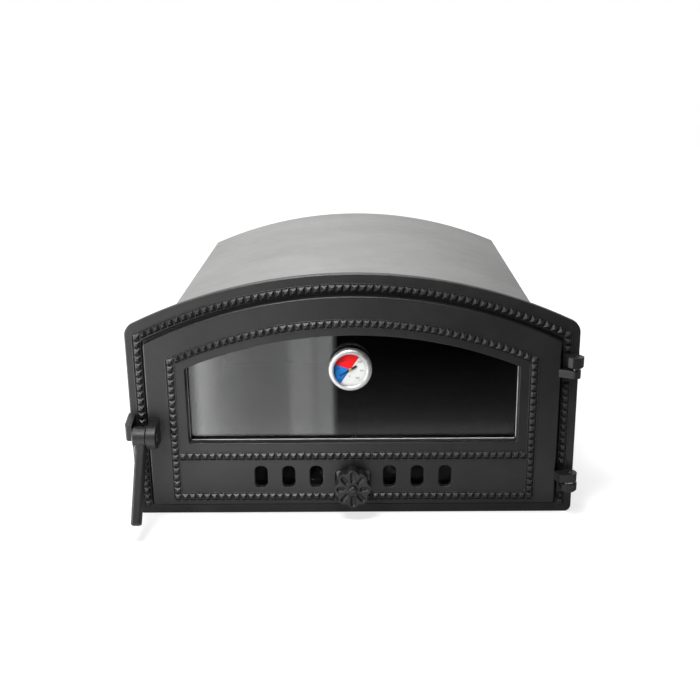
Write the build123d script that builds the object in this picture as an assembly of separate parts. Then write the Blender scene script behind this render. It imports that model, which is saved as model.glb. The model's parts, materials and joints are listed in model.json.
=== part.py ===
from build123d import *
import math
import os

# Driving dimensions in mm. X runs to the right, Y from front to back, Z up.

# Cast frame: outline, edge and rebate
frame_width = 542.0
frame_height = 306.0
frame_arch_radius = 608.0
frame_top_corner = 16.0
frame_foot_corner = 8.0
frame_thickness = 8.0
frame_edge_round = 2.0
rebate_depth = 3.5
rebate_edge_break = 1.2
mouth_side_lap = 21.8
mouth_foot_lap = 12.2
mouth_top_lap = 18.7
mouth_corner = 8.0

# Cast door: outline, plate and ribs
frame_border_side = 23.2
frame_border_foot = 15.8
frame_border_top = 25.3
door_arch_radius = 566.5
door_corner = 3.0
door_gap = 2.8
door_proud = 8.0
door_plate = 5.0
door_edge_round = 1.6
door_skirt_width = 10.0
door_seat_gap = 1.0

# Rope seal in the skirt's groove
seal_width = 5.0
seal_groove_depth = 3.0
seal_proud = 0.6
seal_side_gap = 0.2

# Window
window_border_side = 48.1
window_border_foot = 81.5
window_border_top = 47.4
window_foot_corner = 4.0
window_top_corner = 2.0
window_rim = 5.5
window_wall_depth = 12.0
gasket_thickness = 1.0
gasket_width = 5.0
gasket_show = 0.9
glass_thickness = 4.0
glass_lap = 7.0
mouth_edge_round = 1.2

# Bead moulding
bead_pitch = 9.0
bead_base = 8.4
bead_top = 2.6
bead_height = 2.9
bead_root = 0.6
ridge_width = 1.1
ridge_height = 0.8
ridge_gap = 0.3
ridge_corner = 3.0
frame_bead_inset_side = 14.5
frame_bead_inset_top = 16.8
frame_bead_foot = 9.5
door_bead_inset_side = 30.8
door_bead_inset_foot = 10.6
door_bead_inset_top = 32.4
rail_drop = 17.0

# Vents, knob slot and air slide
vent_width = 15.5
vent_height = 28.0
vent_corner = 6.5
vent_pitch = 34.0
vent_first = 45.0
vents_per_side = 3
vent_rise = 26.2
knob_slot_width = 42.0
knob_slot_height = 25.0
knob_slot_drop = 5.1
knob_slot_corner = 4.0
slide_thickness = 1.5
slide_margin = 5.6
slide_end_margin = 14.0
slide_clearance = 0.3
guide_lip = 1.5
guide_lip_gap = 1.1
guide_web = 6.0

# Rosette knob
knob_drop = 8.6
knob_petals = 8
knob_half_width = 22.0
knob_half_height = 25.0
knob_shoulder = 0.965
knob_valley = 0.87
knob_thickness = 15.0
knob_stand_off = 5.0
knob_edge_round = 0.8
groove_start = 11.2
groove_end_gap = 5.2
groove_radius = 3.3
groove_depth = 2.7
bush_radius = 5.0
screw_radius = 2.5
screw_head_radius = 5.6
screw_head_height = 4.5
knob_nut_across = 8.0
knob_nut_height = 4.0
screw_end = 1.0
dome_share = 0.8

# Hinges
hinge_inset = 6.4
hinge_forward = 10.0
frame_knuckle_radius = 9.7
upper_lug_radius = 6.8
lower_lug_radius = 9.0
knuckle_edge = 2.2
knuckle_bevel = 4.5
upper_knuckle_drop = 49.7
upper_knuckle_height = 14.0
upper_lug_drop = 3.0
upper_lug_height = 9.4
lower_knuckle_foot = 34.0
lower_knuckle_height = 10.8
hinge_washer_height = 2.4
lower_lug_height = 10.4
hinge_washer_radius = 7.5
hinge_washer_gap = 0.4
hinge_pin_radius = 3.0
hinge_pin_sink = 1.4
running_clearance = 0.08
lug_reach = 2.0
lug_bevel = 6.0
lug_back = 3.5
hinge_margin = 1.5

# Latch
latch_pin_forward = 30.0
latch_pin_level = 115.0
latch_pin_radius = 4.0
ear_inset = 3.3
ear_width = 11.0
ear_radius = 14.0
latch_gap = 0.5
lever_head_width = 16.5
lever_head_radius = 12.5
lever_head_edge = 1.2
lever_neck_inset = 3.6
lever_neck_end = 19.5
lever_length = 104.3
lever_lean = 29.7
lever_drift = 2.2
lever_width = 12.4
lever_root_thickness = 15.0
lever_end_thickness = 9.6
lever_edge_round = 3.2
lever_bow = 1.5
nose_reach = 1.7
nose_root = 3.0
nose_front = 8.0
nose_back = 18.0
nose_height = 14.0
latch_pin_head_radius = 5.6
latch_pin_head = 1.8
clip_radius = 7.0
clip_thickness = 1.2
clip_recess = 1.8
keeper_width = 8.5
keeper_overhang = 1.5
keeper_rise = 19.0
keeper_drop = 6.0
keeper_below = 8.0
keeper_reach = 26.0
keeper_round = 5.0
keeper_corner = 3.0

# Sheet-steel shell
rim_side = 39.5
rim_top = 20.2
shell_arch_radius = 582.0
shell_corner = 4.0
shell_length = 525.0
shell_sheet = 1.5
shell_flange = 26.0
shell_seat = 1.0
floor_sheet = 2.0
back_rim = 12.0
sheet_gap = 0.3
collar_wall = 5.0
collar_length = 26.0

# Baking stones
stone_thickness = 24.5
stone_length = 480.0
stone_front_gap = 6.0
stone_side_gap = 4.0
stone_joint = 2.0
stone_edge = 2.0

# Frame bolts
bolt_radius = 3.0
bolt_head_across = 10.0
bolt_head_height = 4.0
bolt_nut_height = 5.0
bolt_end = 2.0
bolt_setback = 14.0
bolt_low = 60.0
bolt_spacing = 120.0
bolt_roof_x = 120.0
bolt_hole_depth = 12.0
nut_gap = 0.03

# Glass clips and their screws
clip_boss_radius = 5.0
clip_boss_gap = 3.5
clip_plate = 2.0
clip_plate_width = 12.0
clip_glass_lap = 5.0
clip_low = 17.7
clip_spacing = 65.0
clip_top_x = 110.0
small_screw_radius = 2.0
small_head_radius = 3.6
small_head_height = 2.4
small_screw_bite = 6.0
guide_screw_bite = 3.2
guide_screw_x = 40.0
screw_slot = 1.0
screw_end_gap = 0.2

# Thermometer
thermo_x = -2.0
thermo_drop = 43.3
bezel_radius = 26.0
bezel_inner_radius = 20.0
bezel_proud = 1.0
bezel_depth = 9.0
bezel_lip = 1.8
bezel_edge = 1.2
bezel_round = 3.6
case_radius = 24.0
case_wall = 1.0
dial_ledge = 2.0
lens_thickness = 1.2
dial_thickness = 0.6
dial_depth = 3.3
thread_radius = 4.75
thread_length = 13.0
probe_radius = 3.0
probe_length = 50.0
thermo_washer_radius = 10.0
thermo_washer = 1.0
thermo_nut_across = 14.0
thermo_nut_height = 5.0
needle_length = 15.0
needle_tail = 9.0
needle_width = 2.1
needle_tail_width = 3.0
needle_hub_radius = 1.6
needle_thickness = 0.4
needle_rise = 0.7
needle_rest_angle = 211.0
spindle_radius = 0.6
spindle_cap_radius = 1.75
spindle_cap = 0.6

# How far a cut runs past the surface it starts from
overcut = 1.0

# Planes worked out from the values above; the origin is the middle of the frame's lower edge
frame_half = frame_width / 2
door_half = frame_half - frame_border_side
door_foot = frame_border_foot
door_apex = frame_height - frame_border_top
window_half = door_half - window_border_side
window_foot = door_foot + window_border_foot
window_apex = door_apex - window_border_top
door_bead_foot = door_foot + door_bead_inset_foot
door_bead_rail = window_foot - rail_drop
vent_level = door_bead_foot + vent_rise
knob_level = vent_level - knob_drop
knob_slot_level = vent_level - knob_slot_drop
shell_half = frame_half - rim_side
shell_height = frame_height - rim_top
ear_left = -door_half + ear_inset
ear_right = ear_left + ear_width
hinge_x = frame_half - hinge_inset
thermo_level = window_apex - thermo_drop
face_y = -frame_thickness / 2
rebate_y = face_y + rebate_depth
frame_back_y = face_y + frame_thickness
door_face_y = face_y - door_proud
door_plate_y = door_face_y + door_plate
skirt_y = rebate_y - door_seat_gap
window_wall_y = door_face_y + window_wall_depth
glass_y = window_wall_y + gasket_thickness
glass_back_y = glass_y + glass_thickness
shell_front_y = frame_back_y - shell_seat
shell_back_y = shell_front_y + shell_length
hinge_y = face_y - hinge_forward
latch_y = face_y - latch_pin_forward
lower_lug_foot = lower_knuckle_foot + lower_knuckle_height + hinge_washer_height + hinge_washer_gap
ridge_offset = bead_base / 2 + ridge_gap + ridge_width / 2


class Arch:
    """A flat foot and two upright sides under one round arc."""

    def __init__(self, half, foot, apex, radius):
        self.half = half
        self.foot = foot
        self.apex = apex
        self.radius = radius

    def inset(self, d):
        return Arch(self.half - d, self.foot + d, self.apex - d, self.radius - d)

    def shoulder(self):
        return self.apex - self.radius + math.sqrt(self.radius ** 2 - self.half ** 2)

    def face(self, top_corner=0.0, foot_corner=0.0):
        shoulder = self.shoulder()
        foot_left = (-self.half, self.foot)
        foot_right = (self.half, self.foot)
        top_left = (-self.half, shoulder)
        top_right = (self.half, shoulder)
        outline = [
            Line(foot_left, foot_right),
            Line(foot_right, top_right),
            ThreePointArc(top_right, (0, self.apex), top_left),
            Line(top_left, foot_left),
        ]
        flat = make_face(outline)
        corners = flat.vertices().sort_by(Axis.Y)
        if foot_corner > 0:
            flat = fillet(corners[:2], foot_corner)
            corners = flat.vertices().sort_by(Axis.Y)
        if top_corner > 0:
            flat = fillet(corners[-2:], top_corner)
        return flat


frame_arch = Arch(frame_half, 0.0, frame_height, frame_arch_radius)
door_arch = Arch(door_half, door_foot, door_apex, door_arch_radius)
rebate_arch = door_arch.inset(-door_gap)
mouth_arch = Arch(door_half - mouth_side_lap, door_foot + mouth_foot_lap, door_apex - mouth_top_lap,
                  door_arch_radius - mouth_top_lap)
window_arch = Arch(window_half, window_foot, window_apex, door_arch_radius - window_border_top)
glass_arch = window_arch.inset(-glass_lap)
shell_arch = Arch(shell_half, 0.0, shell_height, shell_arch_radius)
door_bead_arch = Arch(door_half - door_bead_inset_side, door_bead_foot, door_apex - door_bead_inset_top,
                      door_arch_radius - door_bead_inset_top)
upper_knuckle_foot = frame_arch.shoulder() - upper_knuckle_drop
upper_lug_foot = upper_knuckle_foot - upper_lug_drop - upper_lug_height


def upright(y):
    """The upright plane at y, seen from the front: local x to the right, local y up."""
    return Plane(origin=(0, y, 0), x_dir=(1, 0, 0), z_dir=(0, -1, 0))


def side_plane(x):
    """The plane at x, seen from the right: local x to the back, local y up."""
    return Plane(origin=(x, 0, 0), x_dir=(0, 1, 0), z_dir=(1, 0, 0))


def slab(face, front, back):
    return extrude(upright(back) * face, amount=back - front)


def ring(outer, inner, front, back):
    return slab(outer, front, back) - slab(inner, front - overcut, back + overcut)


def rod_y(x, z, radius, front, back):
    return slab(Pos(x, z) * Circle(radius), front, back)


def rod_x(y, z, radius, left, right):
    return extrude(side_plane(left) * (Pos(y, z) * Circle(radius)), amount=right - left)


def rod_z(x, y, radius, low, high):
    return extrude(Plane.XY.offset(low) * (Pos(x, y) * Circle(radius)), amount=high - low)


def block(x0, x1, y0, y1, z0, z1):
    return Pos(x0, y0, z0) * Box(x1 - x0, y1 - y0, z1 - z0, align=(Align.MIN, Align.MIN, Align.MIN))


def hexagon(across):
    return RegularPolygon(across / 2, 6, major_radius=False)


# Bead moulding

def bead():
    """One square block with sloping sides, on local z = 0, with its root below."""
    slope = math.degrees(math.atan((bead_base - bead_top) / 2 / bead_height))
    crown = extrude(Rectangle(bead_base, bead_base), amount=bead_height, taper=slope)
    root = Pos(0, 0, -bead_root) * extrude(Rectangle(bead_base, bead_base), amount=bead_root)
    return crown + root


def spread(low, high):
    """Evenly spaced places from low to high, about one pitch apart."""
    count = max(1, round((high - low) / bead_pitch))
    return [low + (high - low) * i / count for i in range(count + 1)]


def column_places(x, low, high):
    return [(x, z, 0.0) for z in spread(low, high)]


def arc_places(arch):
    """Places along the arc between the two shoulders, without the two corners."""
    half_angle = math.asin(arch.half / arch.radius)
    centre = arch.apex - arch.radius
    places = []
    for s in spread(-half_angle * arch.radius, half_angle * arch.radius)[1:-1]:
        turn = s / arch.radius
        places.append((arch.radius * math.sin(turn), centre + arch.radius * math.cos(turn), -turn))
    return places


def beads(places, face):
    stamp = bead()
    solids = []
    for x, z, turn in places:
        solids.append(upright(face).location * Pos(x, z, 0) * Rot(0, 0, math.degrees(turn)) * stamp)
    return solids


def ridge(arch, offset, face, corner=0.0):
    """A thin raised line along a bead row, offset outwards from the row's middle."""
    outer = arch.inset(-offset - ridge_width / 2)
    inner = arch.inset(-offset + ridge_width / 2)
    return ring(outer.face(corner, corner), inner.face(corner, corner), face - ridge_height, face + bead_root)


def level_ridge(half, z, face):
    return block(-half, half, face - ridge_height, face + bead_root, z - ridge_width / 2, z + ridge_width / 2)


# Frame

def hinge_spans():
    """The heights that the two hinges take up on the frame's right column."""
    upper = (upper_lug_foot - hinge_margin, upper_knuckle_foot + upper_knuckle_height + hinge_margin)
    lower = (lower_knuckle_foot - hinge_margin, lower_lug_foot + lower_lug_height + hinge_margin)
    return [lower, upper]


def hinge_free(z):
    """True where a bead of the frame's right column is clear of both hinges."""
    return all(z + bead_base / 2 < low or z - bead_base / 2 > high for low, high in hinge_spans())


def frame_knuckle(foot, height):
    r = frame_knuckle_radius
    left = hinge_x - r
    right = frame_half - frame_edge_round
    front = hinge_y - r
    outline = [
        Line((right, face_y), (right, rebate_y)),
        Line((right, rebate_y), (left, rebate_y)),
        Line((left, rebate_y), (left, front + knuckle_bevel)),
        Line((left, front + knuckle_bevel), (left + knuckle_bevel, front)),
        Line((left + knuckle_bevel, front), (hinge_x, front)),
        ThreePointArc((hinge_x, front), (hinge_x + r * math.cos(math.pi / 4), hinge_y - r * math.sin(math.pi / 4)),
                      (hinge_x + r, hinge_y)),
        Line((hinge_x + r, hinge_y), (right, face_y)),
    ]
    knuckle = extrude(Plane.XY.offset(foot) * make_face(outline), amount=height)
    lower_edges = knuckle.faces().sort_by(Axis.Z)[0].edges().sort_by(Axis.Y)
    return chamfer(lower_edges[:4], knuckle_edge)


def keeper():
    """The catch at the frame's left edge, drawn from the side."""
    front = face_y - keeper_reach
    top = latch_pin_level + keeper_rise
    foot = latch_pin_level - keeper_below
    side = Polyline((rebate_y, top), (face_y, top), (front, top - keeper_drop),
                    (front, foot), (rebate_y, foot), close=True)
    flat = make_face(side)
    fronts = flat.vertices().sort_by(Axis.X)[:2].sort_by(Axis.Y)
    flat = fillet(fronts[0], keeper_round)
    left = -frame_half - keeper_overhang
    catch = extrude(side_plane(left) * flat, amount=keeper_width)
    outer_foot = catch.edges().filter_by(Axis.Y).filter_by_position(Axis.Z, foot, foot).sort_by(Axis.X)[0]
    return fillet(outer_foot, keeper_corner)


def collar():
    outer = shell_arch.inset(shell_sheet + sheet_gap)
    outer.foot = shell_sheet + floor_sheet + sheet_gap
    inner = outer.inset(collar_wall)
    return ring(outer.face(shell_corner), inner.face(), shell_front_y, frame_back_y + collar_length)


def make_frame():
    plate = slab(frame_arch.face(frame_top_corner, frame_foot_corner), face_y, frame_back_y)
    plate = fillet(plate.faces().sort_by(Axis.Y)[0].edges(), frame_edge_round)
    plate -= slab(rebate_arch.face(door_corner, door_corner), face_y - overcut, rebate_y)
    rim = plate.faces().sort_by(Axis.Y)[0]
    plate = chamfer(rim.inner_wires()[0].edges(), rebate_edge_break)
    seat = shell_arch.inset(-sheet_gap).face(shell_corner)
    plate -= slab(seat, shell_front_y, frame_back_y + overcut)
    plate += collar()
    plate -= slab(mouth_arch.face(mouth_corner, mouth_corner), face_y - overcut, frame_back_y + overcut)
    plate += keeper()
    plate += frame_knuckle(upper_knuckle_foot, upper_knuckle_height)
    plate += frame_knuckle(lower_knuckle_foot, lower_knuckle_height)
    plate -= rod_z(hinge_x, hinge_y, hinge_pin_radius, upper_knuckle_foot - overcut,
                   upper_knuckle_foot + upper_knuckle_height + overcut)
    plate -= rod_z(hinge_x, hinge_y, hinge_pin_radius, lower_knuckle_foot + hinge_pin_sink,
                   lower_knuckle_foot + lower_knuckle_height + overcut)
    row = Arch(frame_half - frame_bead_inset_side, frame_bead_foot + bead_base / 2,
               frame_height - frame_bead_inset_top, frame_arch_radius - frame_bead_inset_top)
    places = column_places(-row.half, row.foot, row.shoulder())
    places += [place for place in column_places(row.half, row.foot, row.shoulder()) if hinge_free(place[1])]
    places += arc_places(row)
    lines = ridge(row, ridge_offset, face_y, ridge_corner)
    lines -= block(-row.half - bead_base, row.half + bead_base, face_y - bead_height, frame_back_y,
                   -frame_height, frame_bead_foot)
    for low, high in hinge_spans():
        lines -= block(0, frame_width, face_y - bead_height, frame_back_y, low, high)
    plate = plate + lines.solids() + beads(places, face_y)
    for place in bolt_places():
        plate -= place * Pos(0, 0, -shell_sheet - bolt_hole_depth / 2) * Cylinder(bolt_radius, bolt_hole_depth)
    return plate


# Shell, floor, back and stones

def bolt_places():
    """Where the frame bolts sit on the shell, each with its local z pointing outwards."""
    y = frame_back_y + bolt_setback
    half = shell_arch.half
    places = []
    for z in (bolt_low, bolt_low + bolt_spacing):
        places.append(Plane(origin=(-half, y, z), x_dir=(0, 1, 0), z_dir=(-1, 0, 0)).location)
        places.append(Plane(origin=(half, y, z), x_dir=(0, 1, 0), z_dir=(1, 0, 0)).location)
    centre = shell_arch.apex - shell_arch.radius
    turn = math.asin(bolt_roof_x / shell_arch.radius)
    for side in (-1, 1):
        out = (side * math.sin(turn), 0, math.cos(turn))
        origin = (out[0] * shell_arch.radius, y, centre + out[2] * shell_arch.radius)
        places.append(Plane(origin=origin, x_dir=(0, 1, 0), z_dir=out).location)
    return places


def make_shell():
    inner = shell_arch.inset(shell_sheet)
    inner.foot = -overcut
    shell = ring(shell_arch.face(shell_corner), inner.face(shell_corner - shell_sheet), shell_front_y, shell_back_y)
    for side in (-1, 1):
        edge = side * (shell_arch.half - shell_sheet / 2)
        middle = side * (shell_arch.half - shell_flange)
        shell += block(min(edge, middle), max(edge, middle), shell_front_y, shell_back_y, 0, shell_sheet)
    for place in bolt_places():
        shell -= place * Cylinder(bolt_radius, 4 * shell_sheet)
    return shell


def make_floor():
    half = shell_arch.half - shell_sheet - sheet_gap
    return block(-half, half, frame_back_y + sheet_gap, shell_back_y - shell_sheet - sheet_gap,
                 shell_sheet, shell_sheet + floor_sheet)


def make_back():
    outer = shell_arch.inset(shell_sheet + sheet_gap)
    outer.foot = shell_sheet + floor_sheet + sheet_gap
    corner = shell_corner - shell_sheet
    plate = slab(outer.face(corner), shell_back_y - shell_sheet, shell_back_y)
    rim = ring(outer.face(corner), outer.inset(shell_sheet).face(), shell_back_y - back_rim, shell_back_y)
    return plate + rim


def make_stone(side):
    half = shell_arch.half - shell_sheet - stone_side_gap
    inner = side * stone_joint / 2
    outer = side * half
    front = frame_back_y + collar_length + stone_front_gap
    floor = shell_sheet + floor_sheet
    stone = block(min(inner, outer), max(inner, outer), front, front + stone_length, floor, floor + stone_thickness)
    return chamfer(stone.faces().sort_by(Axis.Z)[-1].edges(), stone_edge)


def make_bolts():
    """The bolt heads sit on the shell, and the shanks run in to the nuts."""
    head = extrude(hexagon(bolt_head_across), amount=bolt_head_height)
    head = head & Cone(bolt_head_across, bolt_head_across / 2, 2 * bolt_head_height)
    grip = shell_sheet + sheet_gap + collar_wall + bolt_nut_height + bolt_end
    shank = Pos(0, 0, -grip / 2) * Cylinder(bolt_radius, grip)
    bolt = head + shank
    return Compound(children=[place * bolt for place in bolt_places()])


def make_nuts():
    seat = shell_sheet + sheet_gap + collar_wall
    nut = extrude(hexagon(bolt_head_across), amount=bolt_nut_height)
    nut -= Cylinder(bolt_radius, 4 * bolt_nut_height)
    nut = Pos(0, 0, -seat - bolt_nut_height - nut_gap) * nut
    return Compound(children=[place * nut for place in bolt_places()])


# Hinge pins

def make_upper_pin():
    return rod_z(hinge_x, hinge_y, hinge_pin_radius, upper_lug_foot + hinge_pin_sink,
                 upper_knuckle_foot + upper_knuckle_height - hinge_pin_sink)


def make_lower_pin():
    return rod_z(hinge_x, hinge_y, hinge_pin_radius, lower_knuckle_foot + hinge_pin_sink,
                 lower_lug_foot + lower_lug_height - hinge_pin_sink)


def make_hinge_washer():
    low = lower_knuckle_foot + lower_knuckle_height
    disc = rod_z(hinge_x, hinge_y, hinge_washer_radius, low, low + hinge_washer_height)
    return disc - rod_z(hinge_x, hinge_y, hinge_pin_radius, low - overcut, low + hinge_washer_height + overcut)


# Door

def vent_centres():
    xs = [vent_first + i * vent_pitch for i in range(vents_per_side)]
    return [-x for x in reversed(xs)] + xs


def vent_faces():
    flats = []
    for x in vent_centres():
        flats.append(Pos(x, vent_level) * RectangleRounded(vent_width, vent_height, vent_corner))
    return flats


def knob_slot_face():
    return Pos(0, knob_slot_level) * RectangleRounded(knob_slot_width, knob_slot_height, knob_slot_corner)


def door_lug(foot, height, radius, square):
    """A knuckle with a web to the door's edge, square in front or running tangent to the knuckle."""
    start_x = door_arch.half - lug_reach
    dx = hinge_x - start_x
    dy = hinge_y - door_face_y
    reach = math.hypot(dx, dy)
    heading = math.atan2(dy, dx) - math.asin(radius / reach)
    run = math.sqrt(reach ** 2 - radius ** 2)
    fronts = [(start_x + run * math.cos(heading), door_face_y + run * math.sin(heading))]
    if square:
        front = hinge_y - radius
        fronts = [(start_x + lug_bevel, front), (hinge_x, front)]
    back = door_face_y + lug_back
    web = make_face(Polyline((start_x, door_face_y), *fronts, (hinge_x, hinge_y), (hinge_x, back),
                             (start_x, back), close=True))
    lug = extrude(Plane.XY.offset(foot) * web, amount=height)
    return lug + rod_z(hinge_x, hinge_y, radius, foot, foot + height)


def latch_ear():
    arm = block(ear_left, ear_right, latch_y, door_plate_y, latch_pin_level - ear_radius,
                latch_pin_level + ear_radius)
    return arm + rod_x(latch_y, latch_pin_level, ear_radius, ear_left, ear_right)


def clip_places():
    """Each glass clip's boss centre and the direction from it to the glass."""
    side_x = glass_arch.half + clip_boss_gap + clip_boss_radius
    places = []
    for z in (window_foot + clip_low, window_foot + clip_low + clip_spacing):
        places.append((-side_x, z, 0.0))
        places.append((side_x, z, 180.0))
    centre = glass_arch.apex - glass_arch.radius
    out = glass_arch.radius + clip_boss_gap + clip_boss_radius
    turn = math.asin(clip_top_x / glass_arch.radius)
    for side in (-1, 1):
        places.append((side * out * math.sin(turn), centre + out * math.cos(turn),
                       -90.0 - side * math.degrees(turn)))
    return places


def guide_spans():
    """Height of the slide plate's foot and top."""
    low = vent_level - vent_height / 2 - slide_margin
    high = vent_level + vent_height / 2 + slide_margin
    return low, high


def make_door():
    plate = slab(door_arch.face(door_corner, door_corner), door_face_y, door_plate_y)
    plate = fillet(plate.faces().sort_by(Axis.Y)[0].edges(), door_edge_round)
    window = window_arch.face(window_top_corner, window_foot_corner)
    plate -= slab(window, door_face_y - overcut, door_plate_y + overcut)
    for flat in vent_faces() + [knob_slot_face()]:
        plate -= slab(flat, door_face_y - overcut, door_plate_y + overcut)
    front = plate.faces().sort_by(Axis.Y)[0]
    mouths = [edge for wire in front.inner_wires() for edge in wire.edges()]
    plate = fillet(mouths, mouth_edge_round)
    inner = door_arch.inset(door_skirt_width)
    skirt = ring(door_arch.face(door_corner, door_corner), inner.face(), door_plate_y - overcut, skirt_y)
    groove_edge = (door_skirt_width - seal_width) / 2
    groove = ring(door_arch.inset(groove_edge).face(), door_arch.inset(groove_edge + seal_width).face(),
                  skirt_y - seal_groove_depth, skirt_y + overcut)
    skirt -= groove
    frame = ring(window_arch.inset(-window_rim).face(window_rim, window_rim), window,
                 door_plate_y - overcut, window_wall_y)
    plate = plate + skirt + frame
    for x, z, _ in clip_places():
        plate += rod_y(x, z, clip_boss_radius, door_plate_y - overcut, glass_back_y)
        plate -= rod_y(x, z, small_screw_radius, glass_back_y - small_screw_bite, glass_back_y + overcut)
    plate += door_lug(upper_lug_foot, upper_lug_height, upper_lug_radius, False)
    plate += door_lug(lower_lug_foot, lower_lug_height, lower_lug_radius, True)
    hole = hinge_pin_radius + running_clearance
    plate -= rod_z(hinge_x, hinge_y, hole, upper_lug_foot - overcut, upper_lug_foot + upper_lug_height + overcut)
    plate -= rod_z(hinge_x, hinge_y, hole, lower_lug_foot - overcut, lower_lug_foot + lower_lug_height + overcut)
    plate += latch_ear()
    plate -= rod_x(latch_y, latch_pin_level, latch_pin_radius, ear_left - overcut, ear_right + overcut)
    for x, z in guide_screw_places():
        plate -= rod_y(x, z, small_screw_radius, door_plate_y - guide_screw_bite, door_plate_y + overcut)
    row = door_bead_arch
    places = column_places(-row.half, row.foot, row.shoulder())
    places += column_places(row.half, row.foot, row.shoulder())
    places += arc_places(row)
    places += [(x, row.foot, 0.0) for x in spread(-row.half, row.half)[1:-1]]
    rail = [(x, door_bead_rail, 0.0) for x in spread(-row.half, row.half)[1:-1]]
    places += rail
    lines = [ridge(row, side * ridge_offset, door_face_y, ridge_corner) for side in (-1, 1)]
    rail_half = row.half - ridge_offset
    lines += [level_ridge(rail_half, door_bead_rail + side * ridge_offset, door_face_y) for side in (-1, 1)]
    return plate + lines + beads(places, door_face_y)


def make_seal():
    edge = (door_skirt_width - seal_width) / 2 + seal_side_gap
    width = seal_width - 2 * seal_side_gap
    rope = ring(door_arch.inset(edge).face(), door_arch.inset(edge + width).face(),
                skirt_y - seal_groove_depth, skirt_y + seal_proud)
    return rope


def make_gasket():
    outer = window_arch.inset(-gasket_width)
    inner = window_arch.inset(gasket_show)
    return ring(outer.face(), inner.face(window_top_corner, window_foot_corner), window_wall_y, glass_y)


def make_glass():
    pane = slab(glass_arch.face(window_top_corner, window_foot_corner), glass_y, glass_back_y)
    return pane - rod_y(thermo_x, thermo_level, thread_radius + sheet_gap, glass_y - overcut, glass_back_y + overcut)


def make_clips():
    reach = clip_boss_gap + clip_boss_radius + clip_glass_lap
    strip = Pos((reach - clip_boss_radius) / 2, 0) * Rectangle(reach + clip_boss_radius, clip_plate_width)
    strip = strip - Circle(small_screw_radius)
    clips = []
    for x, z, turn in clip_places():
        flat = Pos(x, z) * Rot(0, 0, turn) * strip
        clips.append(slab(flat, glass_back_y, glass_back_y + clip_plate))
    return Compound(children=clips)


def pan_screw(x, z, seat, bite):
    head = rod_y(x, z, small_head_radius, seat, seat + small_head_height)
    head = fillet(head.edges().sort_by(Axis.Y)[-1], small_head_height / 2)
    head -= Pos(x, seat + small_head_height, z) * Box(screw_slot, 2 * screw_slot, 2 * small_head_radius)
    return head + rod_y(x, z, small_screw_radius, seat - bite, seat)


def make_clip_screws():
    seat = glass_back_y + clip_plate
    bite = clip_plate + small_screw_bite
    return Compound(children=[pan_screw(x, z, seat, bite) for x, z, _ in clip_places()])


# Air slide and its guides

def guide_screw_places():
    low, high = guide_spans()
    places = []
    for x in (guide_screw_x, slide_half() - guide_web):
        for side in (-1, 1):
            places.append((side * x, low - slide_clearance - guide_web / 2))
            places.append((side * x, high + slide_clearance + guide_web / 2))
    return places


def make_guide(upper):
    low, high = guide_spans()
    half = slide_half()
    space = slide_thickness + 2 * slide_clearance
    lip_over = slide_margin - guide_lip_gap + slide_clearance
    if upper:
        web = (high + slide_clearance, high + slide_clearance + guide_web)
        lip = (web[0] - lip_over, web[1])
    else:
        web = (low - slide_clearance - guide_web, low - slide_clearance)
        lip = (web[0], web[1] + lip_over)
    rail = block(-half, half, door_plate_y, door_plate_y + space, web[0], web[1])
    rail += block(-half, half, door_plate_y + space, door_plate_y + space + guide_lip, lip[0], lip[1])
    for x, z in guide_screw_places():
        if web[0] < z < web[1]:
            rail -= rod_y(x, z, small_screw_radius, door_plate_y - overcut,
                          door_plate_y + space + guide_lip + overcut)
    return rail


def make_guide_screws():
    seat = door_plate_y + slide_thickness + 2 * slide_clearance + guide_lip
    bite = seat - door_plate_y + guide_screw_bite - screw_end_gap
    return Compound(children=[pan_screw(x, z, seat, bite) for x, z in guide_screw_places()])


def slide_half():
    return vent_centres()[-1] + vent_width / 2 + slide_end_margin


def slide_front():
    return door_plate_y + slide_clearance


def make_slide():
    low, high = guide_spans()
    half = slide_half()
    front = slide_front()
    plate = block(-half, half, front, front + slide_thickness, low, high)
    for flat in vent_faces():
        plate -= slab(flat, front - overcut, front + slide_thickness + overcut)
    return plate - rod_y(0, knob_level, screw_radius, front - overcut, front + slide_thickness + overcut)


def knob_point(petal, share):
    """A point in the direction of a petal on the knob's oval, at a share of its size."""
    angle = math.pi / 2 + petal * 2 * math.pi / knob_petals
    return (share * knob_half_width * math.cos(angle), share * knob_half_height * math.sin(angle))


def knob_face():
    shares = (1.0, knob_shoulder, knob_valley, knob_shoulder)
    points = [knob_point(i / 4, shares[i % 4]) for i in range(4 * knob_petals)]
    return make_face(Spline(points, periodic=True))


def knob_back():
    return door_face_y - knob_stand_off


def make_knob():
    back = knob_back()
    front = back - knob_thickness
    knob = slab(Pos(0, knob_level) * knob_face(), front, back)
    knob = fillet(knob.faces().sort_by(Axis.Y)[0].edges(), knob_edge_round)
    sink = groove_radius - groove_depth
    for i in range(knob_petals):
        tip = knob_point(i, 1.0)
        end = math.hypot(*tip) - groove_end_gap
        length = end - groove_start
        tool = Pos((groove_start + end) / 2, 0, sink) * Rot(0, 90, 0) * Cylinder(groove_radius, length)
        for reach in (groove_start, end):
            tool += Pos(reach, 0, sink) * Sphere(groove_radius)
        turn = math.degrees(math.atan2(tip[1], tip[0]))
        knob -= upright(front).location * Pos(0, knob_level, 0) * Rot(0, 0, turn) * tool
    return knob - rod_y(0, knob_level, screw_radius, front - overcut, back + overcut)


def make_knob_bush():
    bush = rod_y(0, knob_level, bush_radius, knob_back(), slide_front())
    return bush - rod_y(0, knob_level, screw_radius, knob_back() - overcut, slide_front() + overcut)


def make_knob_screw():
    front = knob_back() - knob_thickness
    end = slide_front() + slide_thickness + knob_nut_height + screw_end
    head = rod_y(0, knob_level, screw_head_radius, front - screw_head_height, front)
    head = fillet(head.edges().sort_by(Axis.Y)[0], screw_head_height * dome_share)
    return head + rod_y(0, knob_level, screw_radius, front, end)


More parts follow.
